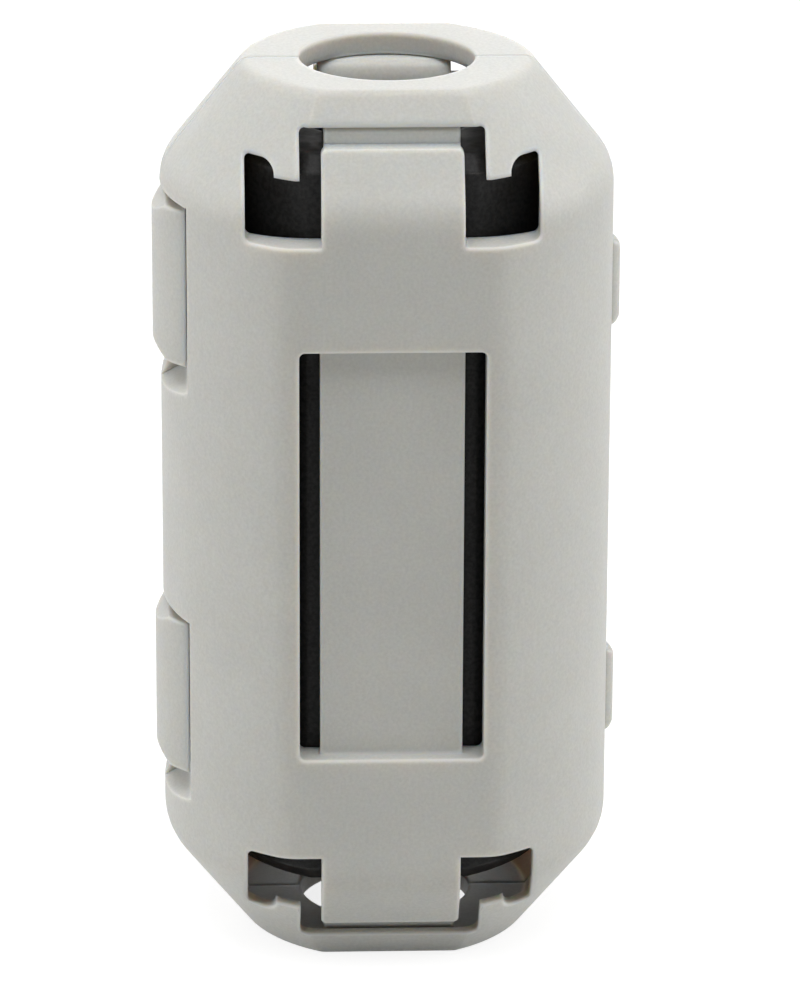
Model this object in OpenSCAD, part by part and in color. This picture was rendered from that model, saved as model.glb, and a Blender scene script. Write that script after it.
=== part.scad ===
// Clip-on ferrite bead for a round cable.
// Two half shells, joined by two living-hinge straps at +X and closed by two latch arms at -X, hold
// a split ferrite core. +Z runs along the cable, -Y is the front, and the origin is on the cable's
// axis at the lower end face.

/* [Housing] */
// Length of the housing along the cable
body_len = 25; // [24:0.5:30]
// Width across the round sides
body_w = 12.4; // [12.2:0.1:13.4]
// Depth between the flat front and back
body_d = 11; // [10.8:0.1:11.6]
// Diameter of each end face
end_w = 7.85; // [7.4:0.05:8]
// Depth of each end face between its flat sides
end_d = 6.8; // [6.4:0.1:7.4]
// Length of the taper at each end
taper_len = 2.9; // [2.6:0.1:3.2]
// Radius that blends each taper into the body
shoulder_r = 1.5; // [0.6:0.1:2]
// Radius that blends the flat sides into the round ones
crease_r = 1.3; // [0.5:0.1:2]
// Radius round each end face
end_r = 0.45; // [0.2:0.05:0.6]
// Diameter of the cable hole
cable_d = 4.8; // [3.6:0.1:4.9]
// Thickness of each end wall round the cable hole
end_wall = 0.6; // [0.4:0.05:0.75]
// Wall behind the flat front and back
flat_wall = 1; // [0.8:0.05:1.2]
// Wall at the round sides
side_wall = 1.1; // [1:0.05:1.2]
// Wall behind the tapers
taper_wall = 0.4; // [0.3:0.02:0.42]
// Radius in the corners of the room for the core
cavity_corner = 3; // [2.8:0.1:3.6]
// Gap between the two shells at the parting plane
part_gap = 0.04; // [0.02:0.02:0.2]

/* [Window and strap] */
// Length of the window in each flat side
window_len = 11.7; // [9:0.1:13]
// Width of the window
window_w = 5.02; // [4.6:0.02:5.4]
// Width of the springy strap down the window's middle
strap_w = 3.88; // [3:0.02:4.2]
// Depth of the strap below the flat side
strap_recess = 0.45; // [0.2:0.05:0.5]
// Radius in the corners of the window and the slots
corner_r = 0.16; // [0.1:0.02:0.24]

/* [End slots and tongues] */
// Width of the wide part of each end slot
slot_w = 7.86; // [7.4:0.02:8.1]
// Distance from the end face to the root of the slot and its tongue
slot_root = 3.75; // [3.4:0.05:4.2]
// Distance from the end face to the far edge of the wide part
slot_top = 1.65; // [1.5:0.05:1.8]
// Width of the narrow part of each end slot
neck_w = 4.96; // [4.6:0.02:5.3]
// Distance from the end face to the far edge of the narrow part
neck_top = 0.84; // [0.8:0.02:1.1]
// Distance from the parting plane at which the slots stop
slot_floor = 1.2; // [0.8:0.1:1.6]
// Width of each tongue
tongue_w = 3.8; // [3:0.02:4.1]
// Distance from the end face to the tip of the tongue
tongue_tip = 1.34; // [1.2:0.02:1.5]
// Width of the hook at the tongue's tip
hook_w = 3.64; // [2.8:0.02:3.8]
// Distance from the cable's axis to the hook's inner face
hook_reach = 2.6; // [2.5:0.1:3.4]
// Width of the flat land at the tongue's tip, before the hook's slope
hook_land = 0.3; // [0.2:0.05:0.6]
// Gap between the hook's crest and the end wall
hook_room = 0.1; // [0.05:0.05:0.3]
// Width of the two prongs beside the narrow part
prong_w = 0.67; // [0.4:0.01:0.8]
// Length of the prongs
prong_len = 0.4; // [0.2:0.05:0.8]
// Radius between a prong and the wide part's far edge
prong_r = 0.34; // [0.2:0.02:0.4]

/* [Half cores] */
// Bore of the ferrite core
core_bore = 5.2; // [5.2:0.1:5.8]
// Room that each end of the housing leaves beside the core, with the core in the middle
core_inset = 2.05; // [2:0.05:2.3]
// Height of the core's middle above the housing's, which its play allows
core_rise = 0.5; // [0:0.05:0.5]
// Chamfer on the core's outer edges
core_chamfer = 0.45; // [0.3:0.05:0.6]
// Gap between the core and its shell
core_gap = 0.1; // [0.05:0.01:0.2]
// Gap between the core's two halves
core_split = 0.02; // [0.01:0.01:0.04]

/* [Latch arms] */
// Height of the arms' middle above the housing's
arm_shift = 0.65; // [0.4:0.05:0.9]
// Length of each arm along the cable
arm_len = 4.4; // [3.6:0.1:4.8]
// Distance between the two arms
latch_pitch = 11.9; // [11:0.1:12.2]
// Height of the arms above the round side
arm_proud = 0.22; // [0.1:0.02:0.3]
// Radius of the arms' outer face
arm_r = 2.5; // [2.4:0.1:3.2]
// Distance from the round side's tangent to the arms' inner face
arm_seat = 0.7; // [0.64:0.02:0.74]
// Distance the arms reach past the crown of their outer face, towards the front
arm_crown_y = 0.3; // [0.2:0.05:0.5]
// Slant at the arms' outer corners, along the cable
arm_slant = 0.35; // [0.2:0.05:0.8]
// Depth of that slant
arm_slant_in = 0.36; // [0.2:0.02:0.6]
// Gap between the arms and their notches
latch_gap = 0.02; // [0.02:0.01:0.08]
// Room above each arm in its notch
notch_head = 0.3; // [0.1:0.05:0.4]
// Room below each arm in its notch
notch_foot = 0.55; // [0.1:0.05:0.8]
// Length of the ramp that leads out of each notch's lower end
notch_ramp = 0.4; // [0.2:0.1:0.9]
// Depth of the relief in the rear shell where the arms leave it
relief = 0.2; // [0.1:0.05:0.4]
// Height of the catches in the notches
catch_h = 0.24; // [0.15:0.01:0.32]
// Distance from the parting plane to the catches' locking faces
catch_y = 1.3; // [1.1:0.05:1.4]
// Thickness of the catches at their crest
catch_w = 0.35; // [0.25:0.05:0.45]
// Margin between each catch and the arm's ends
catch_margin = 0.6; // [0.5:0.1:1]

/* [Hinge straps] */
// Height of the straps' middle above the housing's
hinge_shift = 0.125; // [-0.2:0.025:0.4]
// Length of each hinge strap along the cable
hinge_len = 2.45; // [2:0.05:3]
// Distance between the two hinge straps
hinge_pitch = 12; // [11:0.1:12.2]
// Outer radius of the folded strap
fold_r = 0.4; // [0.35:0.01:0.45]
// Thickness of the strap
fold_t = 0.25; // [0.18:0.01:0.28]
// Height of the fold above the round side
fold_proud = 0.22; // [0.1:0.02:0.3]
// Length of the strap's two straight legs
leg_len = 0.27; // [0.2:0.01:0.35]
// Gap round each strap in its pocket
fold_gap = 0.05; // [0.03:0.01:0.08]
// Radius at the strap's outer corners
fold_corner = 0.3; // [0.1:0.05:0.6]

/* [Hidden] */

body_r = body_w / 2;
flat_y = body_d / 2;
cavity_r = body_r - side_wall;
cavity_y = flat_y - flat_wall;
core_r = cavity_r - core_gap;
core_y = cavity_y - core_gap / 2;
core_len = body_len - 2 * core_inset;
core_z = core_inset + core_rise;                // lower end of the core
hook_z = core_inset - core_rise - core_gap / 2;  // face of each hook that stops the core
hook_crest = end_wall + hook_room;
arm_z = (body_len - latch_pitch - arm_len) / 2 + arm_shift;  // foot of the lower arm
strap_z = (body_len - hinge_pitch - hinge_len) / 2 + hinge_shift;  // foot of the lower strap
arm_face_x = -(body_r - arm_seat);       // inner face of the arms
notch_x = arm_face_x + latch_gap;        // floor of the notches
relief_x = -(body_r - relief);           // floor of the reliefs beside the arms' roots
arm_axis_x = -(body_r + arm_proud) + arm_r;
fold_x = body_r + fold_proud - fold_r;   // axis of the folded straps
leg_root_x = fold_x - leg_len;
half_gap = part_gap / 2;
far = 2 * body_len;                      // reaches past everything
past = 1;                                // how far cuts run past what they cut
seam = 0.05;                             // how far added pieces reach into what carries them
swell = 0.0005;                          // makes corner circles cross their sides, not just touch
round_fn = 96;
small_fn = 48;
shell_color = [0.80, 0.79, 0.77];
core_color = [0.10, 0.10, 0.10];

// --- outlines ---

function unit(a, b) = (b - a) / norm(b - a);

// Half of the turn that an outline makes at b, on its way from a to c
function half_turn(a, b, c) = acos(max(-1, min(1, unit(a, b) * unit(b, c)))) / 2;

// A convex outline with a radius of its own at each corner
module rounded_outline(points, radii) {
    n = len(points);
    turn = [for (i = [0:n - 1]) half_turn(points[(i + n - 1) % n], points[i], points[(i + 1) % n])];
    back = [for (i = [0:n - 1]) unit(points[i], points[(i + n - 1) % n])];
    ahead = [for (i = [0:n - 1]) unit(points[i], points[(i + 1) % n])];
    cut = [for (i = [0:n - 1]) radii[i] * tan(turn[i])];
    polygon([for (i = [0:n - 1]) each radii[i] > 0
        ? [points[i] + cut[i] * back[i], points[i] + cut[i] * ahead[i]]
        : [points[i]]]);
    for (i = [0:n - 1]) if (radii[i] > 0)
        translate(points[i] + unit([0, 0], back[i] + ahead[i]) * radii[i] / cos(turn[i]))
            circle(r = radii[i] + swell, $fn = small_fn);
}

module rounded_box(x0, x1, z0, z1, r) {
    rounded_outline([[x0, z0], [x1, z0], [x1, z1], [x0, z1]], [r, r, r, r]);
}

// Draws an outline given as x and z, and gives it a depth from y0 to y1
module along_y(y0, y1) {
    translate([0, y1, 0]) rotate([90, 0, 0]) linear_extrude(y1 - y0) children();
}

// Repeats what is drawn for the lower end at the upper end
module both_ends() {
    children();
    translate([0, 0, body_len]) mirror([0, 0, 1]) children();
}

// Repeats what is drawn for the lower arm or strap at the upper one
module pair(pitch) {
    for (i = [0, 1]) translate([0, 0, i * pitch]) children();
}

// --- the housing's outer form ---

// Half of the outline along the cable, from the axis out
module turned_outline() {
    e = end_w / 2;
    rounded_outline(
        [[0, 0], [e, 0], [body_r, taper_len],
         [body_r, body_len - taper_len], [e, body_len], [0, body_len]],
        [0, end_r, shoulder_r, shoulder_r, end_r, 0]);
}

// Distances from the axis to the round and the flat taper at a height above the end face
function taper_x(z) = end_w / 2 + (body_r - end_w / 2) * z / taper_len;
function taper_y(z) = end_d / 2 + (flat_y - end_d / 2) * z / taper_len;

// Outline from the side, with the flat front and back and their tapers. It runs a little past the
// end faces, so that its radius meets them at an angle.
module side_outline() {
    e = taper_y(-seam);
    foot = -seam;
    head = body_len + seam;
    top = body_len - taper_len;
    rounded_outline(
        [[-e, foot], [e, foot], [flat_y, taper_len], [flat_y, top],
         [e, head], [-e, head], [-flat_y, top], [-flat_y, taper_len]],
        [end_r, end_r, shoulder_r, shoulder_r, end_r, end_r, shoulder_r, shoulder_r]);
}

// What the blends between flat and round sides leave, seen along the cable
module crease_outline() {
    inner_r = body_r - crease_r;
    blend_y = flat_y - crease_r;
    blend_x = sqrt(inner_r * inner_r - blend_y * blend_y);
    edge = [blend_x, blend_y] * far / inner_r;
    square([2 * blend_x, 2 * body_w], center = true);
    for (s = [-1, 1]) {
        polygon([[0, 0], [s * edge.x, -edge.y], [s * far, -far], [s * far, far], [s * edge.x, edge.y]]);
        for (t = [-1, 1]) translate([s * blend_x, t * blend_y])
            circle(r = crease_r + swell, $fn = small_fn);
    }
}

module outer_form() {
    intersection() {
        rotate_extrude($fn = round_fn) turned_outline();
        rotate([90, 0, 90]) linear_extrude(body_w + 2 * past, center = true) side_outline();
        translate([0, 0, -past]) linear_extrude(body_len + 2 * past) crease_outline();
    }
}

// --- what is cut from a shell ---

// Room for the core, narrowing behind each taper
module cavity() {
    wide_r = body_r - taper_wall;
    narrow_r = taper_x(end_wall) - taper_wall;
    narrow_y = taper_y(end_wall) - taper_wall;
    edge_z = hook_z + core_chamfer;
    intersection() {
        rotate_extrude($fn = round_fn) polygon([
            [0, end_wall], [narrow_r, end_wall], [wide_r, taper_len],
            [wide_r, body_len - taper_len], [narrow_r, body_len - end_wall],
            [0, body_len - end_wall]]);
        rotate([90, 0, 90]) linear_extrude(body_w, center = true) polygon([
            [-narrow_y, end_wall], [narrow_y, end_wall], [cavity_y, edge_z],
            [cavity_y, body_len - edge_z], [narrow_y, body_len - end_wall],
            [-narrow_y, body_len - end_wall], [-cavity_y, body_len - edge_z], [-cavity_y, edge_z]]);
        linear_extrude(body_len)
            rounded_box(-cavity_r, cavity_r, -cavity_y, cavity_y, cavity_corner);
    }
}

module window_cut() {
    z0 = (body_len - window_len) / 2;
    difference() {
        along_y(-flat_y - past, -cavity_y + past)
            rounded_box(-window_w / 2, window_w / 2, z0, z0 + window_len, corner_r);
        // the strap stays
        translate([-strap_w / 2, -flat_y + strap_recess, z0 - past])
            cube([strap_w, flat_wall, window_len + 2 * past]);
    }
}

// One prong and the fillet on its outer side, for +X
module prong_outline() {
    side = neck_w / 2 + prong_w;
    translate([neck_w / 2, slot_top - corner_r]) square([prong_w, prong_len + corner_r]);
    difference() {
        translate([side - seam, slot_top - corner_r]) square([prong_r + seam, prong_r + corner_r]);
        translate([side + prong_r, slot_top + prong_r]) circle(r = prong_r, $fn = small_fn);
    }
}

// The T-shaped slot in the lower end
module slot_outline() {
    difference() {
        union() {
            rounded_box(-slot_w / 2, slot_w / 2, slot_top, slot_root, corner_r);
            rounded_box(-neck_w / 2, neck_w / 2, neck_top, (slot_top + slot_root) / 2, corner_r);
        }
        for (s = [0, 1]) mirror([s, 0]) prong_outline();
        rounded_box(-tongue_w / 2, tongue_w / 2, tongue_tip, slot_root + past, corner_r);
    }
}

// --- what is added to a shell ---

// The hook at the tongue's tip: a wedge that rises to the end wall and stops the core
module hook() {
    intersection() {
        rotate([90, 0, 90]) linear_extrude(hook_w, center = true) polygon([
            [-flat_y, tongue_tip], [hook_land - taper_y(tongue_tip), tongue_tip],
            [-hook_reach, hook_crest], [-hook_reach, hook_z], [-flat_y, hook_z]]);
        outer_form();
    }
}

// The half shell at -Y, with nothing of the latch or the hinge
module plain_shell() {
    difference() {
        intersection() {
            outer_form();
            translate([-far / 2, -far - half_gap, -far / 2]) cube([far, far, 2 * far]);
        }
        cavity();
        translate([0, 0, -past]) cylinder(d = cable_d, h = body_len + 2 * past, $fn = round_fn);
        window_cut();
        both_ends() along_y(-flat_y - past, -slot_floor) slot_outline();
    }
    both_ends() hook();
}

// --- latch ---

// Outline of a notch or a relief in x and z, down to a floor, with its ramp at the lower end
module notch_outline(floor_x) {
    foot = arm_z - notch_foot;
    out = -body_r - past;
    run = (floor_x - out) * notch_ramp / (floor_x + body_r);
    polygon([[floor_x, foot], [floor_x, arm_z + arm_len + notch_head],
             [out, arm_z + arm_len + notch_head], [out, foot - run]]);
}

// The catch on the notch's floor, in x and y: a ramp to a crest with a square locking face
module catch_outline() {
    foot_y = -catch_y + catch_w + catch_h;
    polygon([[notch_x + seam, -catch_y], [notch_x - catch_h, -catch_y],
             [notch_x - catch_h, -catch_y + catch_w], [notch_x, foot_y], [notch_x + seam, foot_y]]);
}

// Section of an arm in x and y, with the pocket that clears the catch
module arm_section() {
    pocket_x = notch_x - catch_h - latch_gap;
    difference() {
        intersection() {
            translate([arm_axis_x, -arm_crown_y]) circle(r = arm_r, $fn = round_fn);
            translate([-far, -far]) square([far + arm_face_x, 2 * far]);
        }
        translate([pocket_x, -catch_y - latch_gap]) square([far, catch_y + latch_gap + half_gap]);
    }
}

// Outline of an arm in x and z, with slanted outer corners
module arm_outline() {
    out = -body_r - arm_proud;
    polygon([[out, arm_z + arm_slant], [out, arm_z + arm_len - arm_slant],
             [out + arm_slant_in, arm_z + arm_len], [0, arm_z + arm_len],
             [0, arm_z], [out + arm_slant_in, arm_z]]);
}

module arm() {
    intersection() {
        translate([0, 0, arm_z]) linear_extrude(arm_len) arm_section();
        along_y(-body_r, body_r) arm_outline();
    }
}

// --- hinge ---

// Folded strap in x and y: a half ring and two legs
module fold_outline() {
    bend_r = fold_r - fold_t;
    difference() {
        union() {
            intersection() {
                translate([fold_x, 0]) circle(r = fold_r, $fn = small_fn);
                translate([fold_x, -fold_r]) square([fold_r, 2 * fold_r]);
            }
            translate([leg_root_x, -fold_r]) square([leg_len, 2 * fold_r]);
        }
        translate([fold_x, 0]) circle(r = bend_r, $fn = small_fn);
        translate([leg_root_x - past, -bend_r]) square([leg_len + past, 2 * bend_r]);
    }
}

module hinge_pocket() {
    translate([leg_root_x, -fold_r - fold_gap, strap_z - fold_gap])
        cube([far, 2 * (fold_r + fold_gap), hinge_len + 2 * fold_gap]);
}

module hinge_strap() {
    color(shell_color) intersection() {
        translate([0, 0, strap_z]) linear_extrude(hinge_len) fold_outline();
        along_y(-body_r, body_r) rounded_outline(
            [[leg_root_x - past, strap_z], [fold_x + fold_r, strap_z],
             [fold_x + fold_r, strap_z + hinge_len], [leg_root_x - past, strap_z + hinge_len]],
            [0, fold_corner, fold_corner, 0]);
    }
}

// --- sub-parts ---

module front_shell() {
    color(shell_color) {
        difference() {
            plain_shell();
            pair(latch_pitch) along_y(-far, far) notch_outline(notch_x);
            pair(hinge_pitch) hinge_pocket();
        }
        pair(latch_pitch) translate([0, 0, arm_z + catch_margin])
            linear_extrude(arm_len - 2 * catch_margin) catch_outline();
    }
}

module rear_shell() {
    color(shell_color) {
        difference() {
            mirror([0, 1, 0]) plain_shell();
            pair(latch_pitch) along_y(-far, far) notch_outline(relief_x);
            pair(hinge_pitch) hinge_pocket();
        }
        pair(latch_pitch) arm();
    }
}

module upper_hinge_strap() {
    translate([0, 0, hinge_pitch]) hinge_strap();
}

module lower_hinge_strap() {
    hinge_strap();
}

// The half core at -Y
module half_core() {
    z0 = core_z;
    z1 = core_z + core_len;
    c = core_chamfer;
    bore_r = core_bore / 2;
    intersection() {
        rotate_extrude($fn = round_fn) polygon([
            [bore_r, z0], [core_r - c, z0], [core_r, z0 + c],
            [core_r, z1 - c], [core_r - c, z1], [bore_r, z1]]);
        rotate([90, 0, 90]) linear_extrude(2 * (core_r + past), center = true) polygon([
            [-core_split / 2, z0 - past], [-core_split / 2, z1 + past], [c - core_y, z1 + past],
            [c - core_y, z1], [-core_y, z1 - c], [-core_y, z0 + c],
            [c - core_y, z0], [c - core_y, z0 - past]]);
    }
}

module front_core() {
    color(core_color) half_core();
}

module rear_core() {
    color(core_color) mirror([0, 1, 0]) half_core();
}

front_shell();
rear_shell();
upper_hinge_strap();
lower_hinge_strap();
front_core();
rear_core();
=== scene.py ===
import math

import bmesh
import bpy
from mathutils import Matrix, Vector


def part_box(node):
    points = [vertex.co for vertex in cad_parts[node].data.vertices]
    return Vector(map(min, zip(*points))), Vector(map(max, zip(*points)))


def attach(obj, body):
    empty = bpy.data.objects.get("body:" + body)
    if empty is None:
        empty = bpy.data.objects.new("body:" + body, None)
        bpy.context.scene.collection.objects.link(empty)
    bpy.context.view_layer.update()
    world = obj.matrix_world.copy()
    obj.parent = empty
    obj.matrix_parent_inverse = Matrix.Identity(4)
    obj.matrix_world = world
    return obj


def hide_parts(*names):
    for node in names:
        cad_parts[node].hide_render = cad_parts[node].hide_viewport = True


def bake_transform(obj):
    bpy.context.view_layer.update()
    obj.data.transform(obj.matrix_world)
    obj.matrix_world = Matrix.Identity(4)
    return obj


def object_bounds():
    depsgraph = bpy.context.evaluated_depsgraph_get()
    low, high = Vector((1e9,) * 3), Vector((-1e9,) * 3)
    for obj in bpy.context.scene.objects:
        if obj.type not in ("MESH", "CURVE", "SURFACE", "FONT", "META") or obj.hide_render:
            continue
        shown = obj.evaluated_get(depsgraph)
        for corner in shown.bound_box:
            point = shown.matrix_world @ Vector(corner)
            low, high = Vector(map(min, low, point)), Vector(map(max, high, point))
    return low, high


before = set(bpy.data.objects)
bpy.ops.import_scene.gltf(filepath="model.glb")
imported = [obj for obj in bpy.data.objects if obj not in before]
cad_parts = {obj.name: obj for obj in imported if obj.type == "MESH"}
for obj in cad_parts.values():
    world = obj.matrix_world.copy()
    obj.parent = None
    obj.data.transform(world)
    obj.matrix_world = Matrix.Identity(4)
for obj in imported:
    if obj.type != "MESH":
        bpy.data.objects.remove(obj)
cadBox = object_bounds()
print("frame loaded")

mm = 0.001
mixFactor, mixFirst, mixSecond, mixResult = 0, 6, 7, 2  # a Mix node's colour sockets, by number


def linear(code):  # sRGB hex to the linear colour that Blender works in
    parts = [int(code[i:i + 2], 16) / 255 for i in (1, 3, 5)]
    return (*[p / 12.92 if p <= 0.04045 else ((p + 0.055) / 1.055) ** 2.4 for p in parts], 1)


def addNode(tree, kind, inputs={}, **settings):
    node = tree.nodes.new("ShaderNode" + kind)
    for name, value in settings.items():
        setattr(node, name, value)
    for name, value in inputs.items():
        if isinstance(value, bpy.types.NodeSocket):
            tree.links.new(value, node.inputs[name])
        else:
            node.inputs[name].default_value = value
    return node


def newMaterial(name):
    material = bpy.data.materials.new(name)
    material.use_nodes = True
    material.node_tree.nodes.clear()
    return material, material.node_tree


def setRamp(node, stops):
    elements = node.color_ramp.elements
    while len(elements) < len(stops):
        elements.new(0.5)
    for element, (place, colour) in zip(elements, stops):
        element.position = place
        element.color = colour


def addObject(name, data):
    made = bpy.data.objects.new(name, data)
    bpy.context.scene.collection.objects.link(made)
    return made


camera = {
    "target": (0.403, 0, 12.207),  # mm
    "azimuth": -2.194,  # degrees, from the front towards the hinge
    "elevation": 19.819,
    "roll": 0.242,
    "distance": 169.255,  # mm
    "lens": 219.09,  # mm, for the sensor below along the image's height
    "sensor": 36,
    "clip": (5, 5000),  # mm
}


def makeCamera(settings):
    a, e, r = (math.radians(settings[k]) for k in ("azimuth", "elevation", "roll"))
    back = Vector((math.sin(a) * math.cos(e), -math.cos(a) * math.cos(e), math.sin(e)))
    side = Vector((math.cos(a), math.sin(a), 0))
    top = back.cross(side)
    right = side * math.cos(r) + top * math.sin(r)
    up = top * math.cos(r) - side * math.sin(r)
    place = Vector(settings["target"]) * mm + back * settings["distance"] * mm
    data = bpy.data.cameras.new("camera")
    data.lens = settings["lens"]
    data.sensor_width = settings["sensor"]
    data.clip_start, data.clip_end = (limit * mm for limit in settings["clip"])
    made = addObject("camera", data)
    made.matrix_world = Matrix((
        (right.x, up.x, back.x, place.x),
        (right.y, up.y, back.y, place.y),
        (right.z, up.z, back.z, place.z),
        (0, 0, 0, 1)))
    bpy.context.scene.camera = made


makeCamera(camera)
print("camera placed")


nylon = {
    "base": "#CECEC9",
    "shade": "#CBCBC6",
    "edgeHighlight": "#E8E7E2",  # painted highlight: edges painted paler, standing in for light caught by the moulded lips
    "edgeHighlightRange": (0.99, 0.86),  # how far the surface has turned where the painted highlight starts and is full
    "edgeHighlightMost": 0.95,
    "cloudSize": 2.2,  # mm, slow drift of the pigment
    "cloudRange": (0.35, 0.65),
    "grainSize": 0.09,  # mm, spark-eroded mould texture, twice as coarse as real so that it shows
    "grainRange": (0.3, 0.7),
    "grainDepth": 0.0045,  # mm
    "grainBump": 0.6,
    "fleck": (0.94, 1.04),  # how dark and how light the grain is
    "roughness": (0.59, 0.47),  # in the grain's hollows, and on its tops
    "crease": 0.25,  # mm, radius of the moulded edges
    "refraction": 1.53,
    "inside": 0.8,  # share of the light that goes into the plastic
    "depth": 0.6,  # mm, how far light spreads inside
    "spread": (1.0, 0.72, 0.45),  # red goes furthest
}


# Nylon 66, injection moulded in a spark-eroded tool: an even, dry sheen with a faint sandy grain,
# edges painted paler as a painted highlight, and walls thin enough to glow a little warm where
# light gets through
def mouldedNylon(settings):
    material, tree = newMaterial("mouldedNylon")
    place = addNode(tree, "TexCoord").outputs["Object"]
    cloud = addNode(tree, "TexNoise", {
        "Vector": place, "Scale": 1 / (settings["cloudSize"] * mm),
        "Detail": 3.0, "Roughness": 0.5})
    tint = addNode(tree, "ValToRGB", {"Fac": cloud.outputs["Fac"]})
    dark, light = settings["cloudRange"]
    setRamp(tint, [(dark, linear(settings["shade"])), (light, linear(settings["base"]))])
    grain = addNode(tree, "TexNoise", {
        "Vector": place, "Scale": 1 / (settings["grainSize"] * mm),
        "Detail": 2.0, "Roughness": 0.6})
    hollow, top = settings["grainRange"]
    fleck = addNode(tree, "MapRange", {
        "Value": grain.outputs["Fac"], "From Min": hollow, "From Max": top,
        "To Min": settings["fleck"][0], "To Max": settings["fleck"][1]})
    colour = addNode(tree, "Mix", {
        mixFirst: tint.outputs["Color"], mixSecond: fleck.outputs["Result"], mixFactor: 1.0},
        data_type="RGBA", blend_type="MULTIPLY")
    rough = addNode(tree, "MapRange", {
        "Value": grain.outputs["Fac"], "From Min": hollow, "From Max": top,
        "To Min": settings["roughness"][0], "To Max": settings["roughness"][1]})
    crease = addNode(tree, "Bevel", {"Radius": settings["crease"] * mm}, samples=8)
    flat = addNode(tree, "NewGeometry").outputs["Normal"]
    turn = addNode(tree, "VectorMath", {
        0: crease.outputs["Normal"], 1: flat}, operation="DOT_PRODUCT")
    # painted highlight: where the surface turns at an edge its colour is painted paler, standing
    # in for light on the moulded lips
    start, full = settings["edgeHighlightRange"]
    edgeHighlightMask = addNode(tree, "MapRange", {
        "Value": turn.outputs["Value"], "From Min": start, "From Max": full,
        "To Min": 0.0, "To Max": settings["edgeHighlightMost"]})
    highlightedColour = addNode(tree, "Mix", {
        mixFirst: colour.outputs[mixResult], mixSecond: linear(settings["edgeHighlight"]),
        mixFactor: edgeHighlightMask.outputs["Result"]}, data_type="RGBA")
    bump = addNode(tree, "Bump", {
        "Height": grain.outputs["Fac"], "Strength": settings["grainBump"],
        "Distance": settings["grainDepth"] * mm, "Normal": crease.outputs["Normal"]})
    surface = addNode(tree, "BsdfPrincipled", {
        "Base Color": highlightedColour.outputs[mixResult], "Roughness": rough.outputs["Result"],
        "IOR": settings["refraction"], "Normal": bump.outputs["Normal"],
        "Subsurface Weight": settings["inside"], "Subsurface Radius": settings["spread"],
        "Subsurface Scale": settings["depth"] * mm})
    addNode(tree, "OutputMaterial", {"Surface": surface.outputs["BSDF"]})
    return material


ferrite = {
    "base": "#232323",
    "pit": "#131314",
    "pitRange": (0.38, 0.6),
    "chip": "#5A5856",  # fresh breaks along the edges
    "chipSize": 0.7,  # mm
    "chipRange": (0.45, 0.6),
    "chipAmount": (0.1, 1.0),  # least and most along an edge
    "chipTurn": (0.97, 0.8),  # how far the surface has turned where a chip starts and is full
    "grainSize": 0.12,  # mm, pressed powder, far coarser than real so that it shows
    "grainDepth": 0.004,  # mm
    "grainBump": 0.5,
    "pitSize": 0.36,  # mm
    "roughness": (0.62, 0.44),  # in a pit, and between the pits
    "edge": 0.2,  # mm, tumbled edges
    "refraction": 1.5,
    "shine": 0.18,  # the ground powder scatters most of what a polished face would mirror
}


# Nickel-zinc ferrite, pressed, sintered and tumbled: charcoal black with a dull, faintly pitted
# skin and edges chipped to a lighter grey
def sinteredFerrite(settings):
    material, tree = newMaterial("sinteredFerrite")
    place = addNode(tree, "TexCoord").outputs["Object"]
    grain = addNode(tree, "TexNoise", {
        "Vector": place, "Scale": 1 / (settings["grainSize"] * mm),
        "Detail": 4.0, "Roughness": 0.6})
    tint = addNode(tree, "ValToRGB", {"Fac": grain.outputs["Fac"]})
    dark, light = settings["pitRange"]
    setRamp(tint, [(dark, linear(settings["pit"])), (light, linear(settings["base"]))])
    pits = addNode(tree, "TexVoronoi", {
        "Vector": place, "Scale": 1 / (settings["pitSize"] * mm)})
    rough = addNode(tree, "MapRange", {
        "Value": pits.outputs["Distance"],
        "To Min": settings["roughness"][0], "To Max": settings["roughness"][1]})
    edge = addNode(tree, "Bevel", {"Radius": settings["edge"] * mm}, samples=8)
    flat = addNode(tree, "NewGeometry").outputs["Normal"]
    turn = addNode(tree, "VectorMath", {
        0: edge.outputs["Normal"], 1: flat}, operation="DOT_PRODUCT")
    along = addNode(tree, "TexNoise", {
        "Vector": place, "Scale": 1 / (settings["chipSize"] * mm),
        "Detail": 3.0, "Roughness": 0.7})
    low, high = settings["chipRange"]
    where = addNode(tree, "MapRange", {
        "Value": along.outputs["Fac"], "From Min": low, "From Max": high,
        "To Min": settings["chipAmount"][0], "To Max": settings["chipAmount"][1]})
    start, full = settings["chipTurn"]
    chipped = addNode(tree, "MapRange", {
        "Value": turn.outputs["Value"], "From Min": start, "From Max": full,
        "To Min": 0.0, "To Max": where.outputs["Result"]})
    colour = addNode(tree, "Mix", {
        mixFirst: tint.outputs["Color"], mixSecond: linear(settings["chip"]),
        mixFactor: chipped.outputs["Result"]}, data_type="RGBA")
    bump = addNode(tree, "Bump", {
        "Height": grain.outputs["Fac"], "Strength": settings["grainBump"],
        "Distance": settings["grainDepth"] * mm, "Normal": edge.outputs["Normal"]})
    surface = addNode(tree, "BsdfPrincipled", {
        "Base Color": colour.outputs[mixResult], "Roughness": rough.outputs["Result"],
        "IOR": settings["refraction"], "Specular IOR Level": settings["shine"],
        "Normal": bump.outputs["Normal"]})
    addNode(tree, "OutputMaterial", {"Surface": surface.outputs["BSDF"]})
    return material


nylonMaterial = mouldedNylon(nylon)
ferriteMaterial = sinteredFerrite(ferrite)
print("materials made")


def dress(name, material):
    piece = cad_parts[name]
    piece.data.materials.clear()
    piece.data.materials.append(material)


for name in ("front_shell", "rear_shell"):
    dress(name, nylonMaterial)
for name in ("front_core", "rear_core"):
    dress(name, ferriteMaterial)
print("shells and cores dressed")


# A nylon piece from the points and faces of its closed skin
def nylonPiece(name, build):
    bmesh.ops.recalc_face_normals(build, faces=build.faces)
    mesh = bpy.data.meshes.new(name)
    build.to_mesh(mesh)
    build.free()
    mesh.shade_smooth()
    mesh.materials.append(nylonMaterial)
    return addObject(name, mesh)


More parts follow.
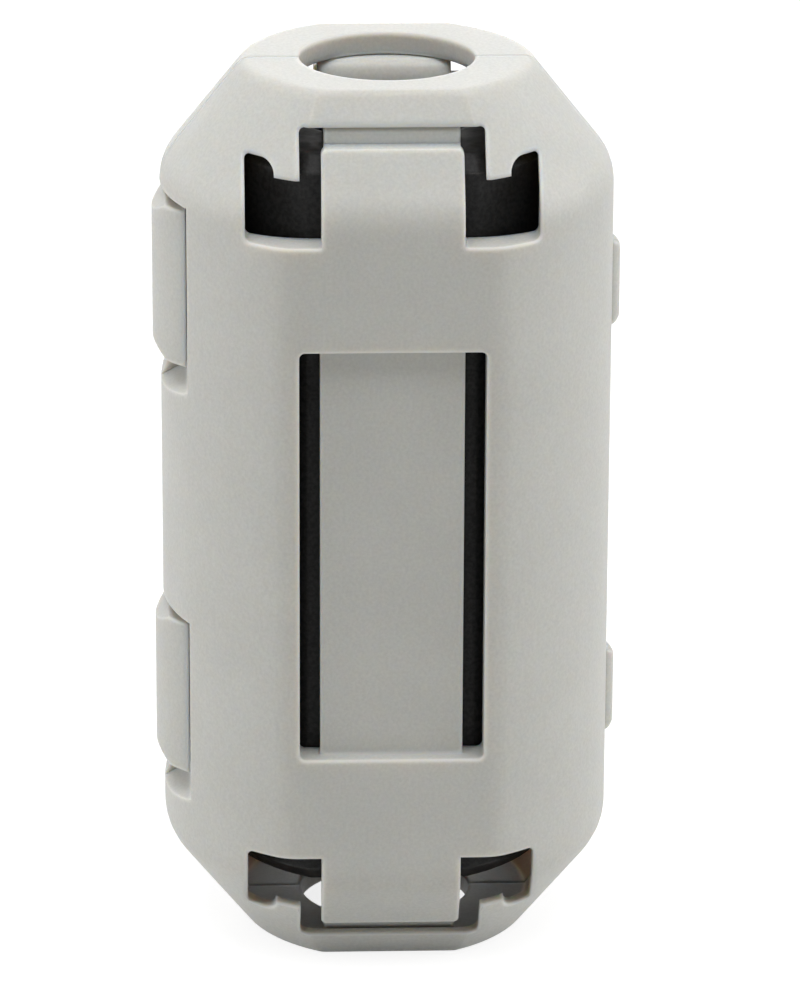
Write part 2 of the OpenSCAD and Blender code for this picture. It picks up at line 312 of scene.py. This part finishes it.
def soften(piece, width, segments):
    soft = piece.modifiers.new("softEdges", "BEVEL")
    soft.width = width * mm
    soft.segments = segments
    soft.harden_normals = True
    return soft


hingeStrap = {
    "thickness": 0.25,  # mm
    "corner": 0.3,  # mm, radius at the fold's two ends
    "bendSteps": 32,
    "legSteps": 6,
    "highSteps": 10,
    "edge": 0.03,  # mm
    "sharp": 60,  # degrees, edges that turn more than this are softened
}


# A folded band, divided finely along its fold and its length
def makeStrap(name, node, settings):
    low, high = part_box(node)
    middle = (low.y + high.y) / 2
    outer = (high.y - low.y) / 2
    inner = outer - settings["thickness"] * mm
    corner = settings["corner"] * mm
    bendX = high.x - outer
    rootX = low.x
    legs, bends, steps = (settings[k] for k in ("legSteps", "bendSteps", "highSteps"))
    path = [(rootX + (bendX - rootX) * i / legs, 0) for i in range(legs)]
    path += [(bendX, math.pi * i / bends) for i in range(bends + 1)]
    path += [(bendX - (bendX - rootX) * (i + 1) / legs, math.pi) for i in range(legs)]
    build = bmesh.new()
    rings = []

    def column(x, y):  # one line of points along the cable, shorter where the corners are round
        over = max(0, x - high.x + corner)
        cut = corner - math.sqrt(max(0, corner ** 2 - over ** 2))
        rise = (high.z - low.z - 2 * cut) / steps
        return [build.verts.new((x, y, low.z + cut + rise * i)) for i in range(steps + 1)]

    for x, turn in path:
        nx, ny = math.sin(turn), -math.cos(turn)
        outside = column(x + outer * nx, middle + outer * ny)
        inside = column(x + inner * nx, middle + inner * ny)
        rings.append(outside + list(reversed(inside)))
    for a, b in zip(rings, rings[1:]):
        for i in range(len(a)):
            j = (i + 1) % len(a)
            build.faces.new((a[i], b[i], b[j], a[j]))
    build.faces.new(rings[0])
    build.faces.new(list(reversed(rings[-1])))
    strap = nylonPiece(name, build)
    soft = soften(strap, settings["edge"], 2)
    soft.limit_method = "ANGLE"
    soft.angle_limit = math.radians(settings["sharp"])
    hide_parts(node)
    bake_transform(strap)


makeStrap("upperHingeStrap", "upper_hinge_strap", hingeStrap)
makeStrap("lowerHingeStrap", "lower_hinge_strap", hingeStrap)
print("hinge straps folded")


claw = {  # mm, each point as its distance from the cable's axis and from the end face
    "width": 3.64,
    "step": {"upper": 3.94, "lower": 3.64},  # from the axis to the step behind the tongue's tip
    "rise": ((0.05, 1.45), (0, 0.95), (-0.08, 0.89)),  # up the step, counted from it
    "crest": ((3.4, 0.7), (2.75, 0.65), (2.5, 0.64)),  # just under the end wall
    "slope": {
        "upper": (
            (1.98, 0.64), (1.8, 0.74), (1.68, 0.95), (1.6, 1.28), (1.6, 1.4), (2.1, 1.45)),
        "lower": ((1.6, 1.28), (1.6, 1.4), (2.1, 1.45))},
    "edge": 0.06,
}


# The head of each hook: a step behind the tongue's tip, a crest under the end wall, and a slope
# that reaches in to grip the cable
def makeClaw(name, body, side, end, settings):
    step = settings["step"][end]
    profile = [(step + out, depth) for out, depth in settings["rise"]]
    profile += [*settings["crest"], *settings["slope"][end]]
    build = bmesh.new()
    sides = []
    for x in (-settings["width"] / 2, settings["width"] / 2):
        ring = []
        for reach, depth in profile:
            height = cadBox[1].z - depth * mm if end == "upper" else cadBox[0].z + depth * mm
            ring.append(build.verts.new((x * mm, side * reach * mm, height)))
        sides.append(ring)
    count = len(profile)
    for i in range(count):
        j = (i + 1) % count
        build.faces.new((sides[0][i], sides[0][j], sides[1][j], sides[1][i]))
    for ring in sides:
        build.faces.new(ring)
    piece = nylonPiece(name, build)
    soften(piece, settings["edge"], 3)
    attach(piece, body)


for end in ("upper", "lower"):
    makeClaw(end + "FrontClaw", "front_half", -1, end, claw)
    makeClaw(end + "RearClaw", "rear_half", 1, end, claw)
print("claws set")


studio = {
    "floor": "#DADAD8",
    "floorSize": 600,  # mm
    "lit": 0.35,  # share of the lamps' light that the eye sees on the floor, and in its shadow
    "glow": 0.825,  # the floor's own brightness to the eye
    "world": 0.3,
    "lamps": {  # place and size in mm, aimed at the middle of the object
        "top": {"at": (0, -42, 230), "size": (200, 200), "power": 0.405},
        "left": {"at": (-220, 10, 40), "size": (160, 160), "power": 0.205},
        "right": {"at": (220, 10, 40), "size": (160, 160), "power": 0.245},
        "back": {"at": (0, 230, 90), "size": (160, 160), "power": 0.14},
    },
}


def seenDirectly(tree):  # 1 where the eye, a mirror or clear glass looks straight at it
    ray = addNode(tree, "LightPath")
    direct = addNode(tree, "Math", {
        0: ray.outputs["Is Camera Ray"], 1: ray.outputs["Is Glossy Ray"]}, operation="MAXIMUM")
    return addNode(tree, "Math", {
        0: direct.outputs[0], 1: ray.outputs["Is Transmission Ray"]},
        operation="MAXIMUM").outputs[0]


# Painted board, sprayed matt: an even white ground that keeps the object's soft shadow
def makeFloor(settings):
    size = settings["floorSize"] * mm
    mesh = bpy.data.meshes.new("floor")
    corners = [(-size, -size, 0), (size, -size, 0), (size, size, 0), (-size, size, 0)]
    mesh.from_pydata(corners, [], [(0, 1, 2, 3)])
    floor = addObject("floor", mesh)
    material, tree = newMaterial("paintedBoard")
    paint = addNode(tree, "BsdfDiffuse", {"Color": linear(settings["floor"])})
    shown = addNode(tree, "BsdfDiffuse", {"Color": (settings["lit"],) * 3 + (1,)})
    white = addNode(tree, "Emission", {"Strength": settings["glow"]})
    seen = addNode(tree, "AddShader", {0: shown.outputs["BSDF"], 1: white.outputs["Emission"]})
    mixed = addNode(tree, "MixShader", {
        0: seenDirectly(tree), 1: paint.outputs["BSDF"], 2: seen.outputs["Shader"]})
    addNode(tree, "OutputMaterial", {"Surface": mixed.outputs["Shader"]})
    mesh.materials.append(material)


def makeLight(settings):
    world = bpy.data.worlds.new("studio")
    bpy.context.scene.world = world
    world.use_nodes = True
    tree = world.node_tree
    tree.nodes.clear()
    soft = addNode(tree, "Background", {"Strength": settings["world"]})
    white = addNode(tree, "Background", {"Strength": 1.0})
    mixed = addNode(tree, "MixShader", {
        0: seenDirectly(tree), 1: soft.outputs["Background"], 2: white.outputs["Background"]})
    addNode(tree, "OutputWorld", {"Surface": mixed.outputs["Shader"]})
    middle = (cadBox[0] + cadBox[1]) / 2
    for name, lamp in settings["lamps"].items():
        data = bpy.data.lights.new(name, "AREA")
        data.shape = "RECTANGLE"
        data.size, data.size_y = lamp["size"][0] * mm, lamp["size"][1] * mm
        data.energy = lamp["power"]
        made = addObject(name, data)
        made.location = Vector(lamp["at"]) * mm
        made.rotation_euler = (made.location - middle).to_track_quat("Z", "Y").to_euler()


makeFloor(studio)
makeLight(studio)
bpy.context.scene.view_settings.view_transform = "Standard"
print("floor and light set")
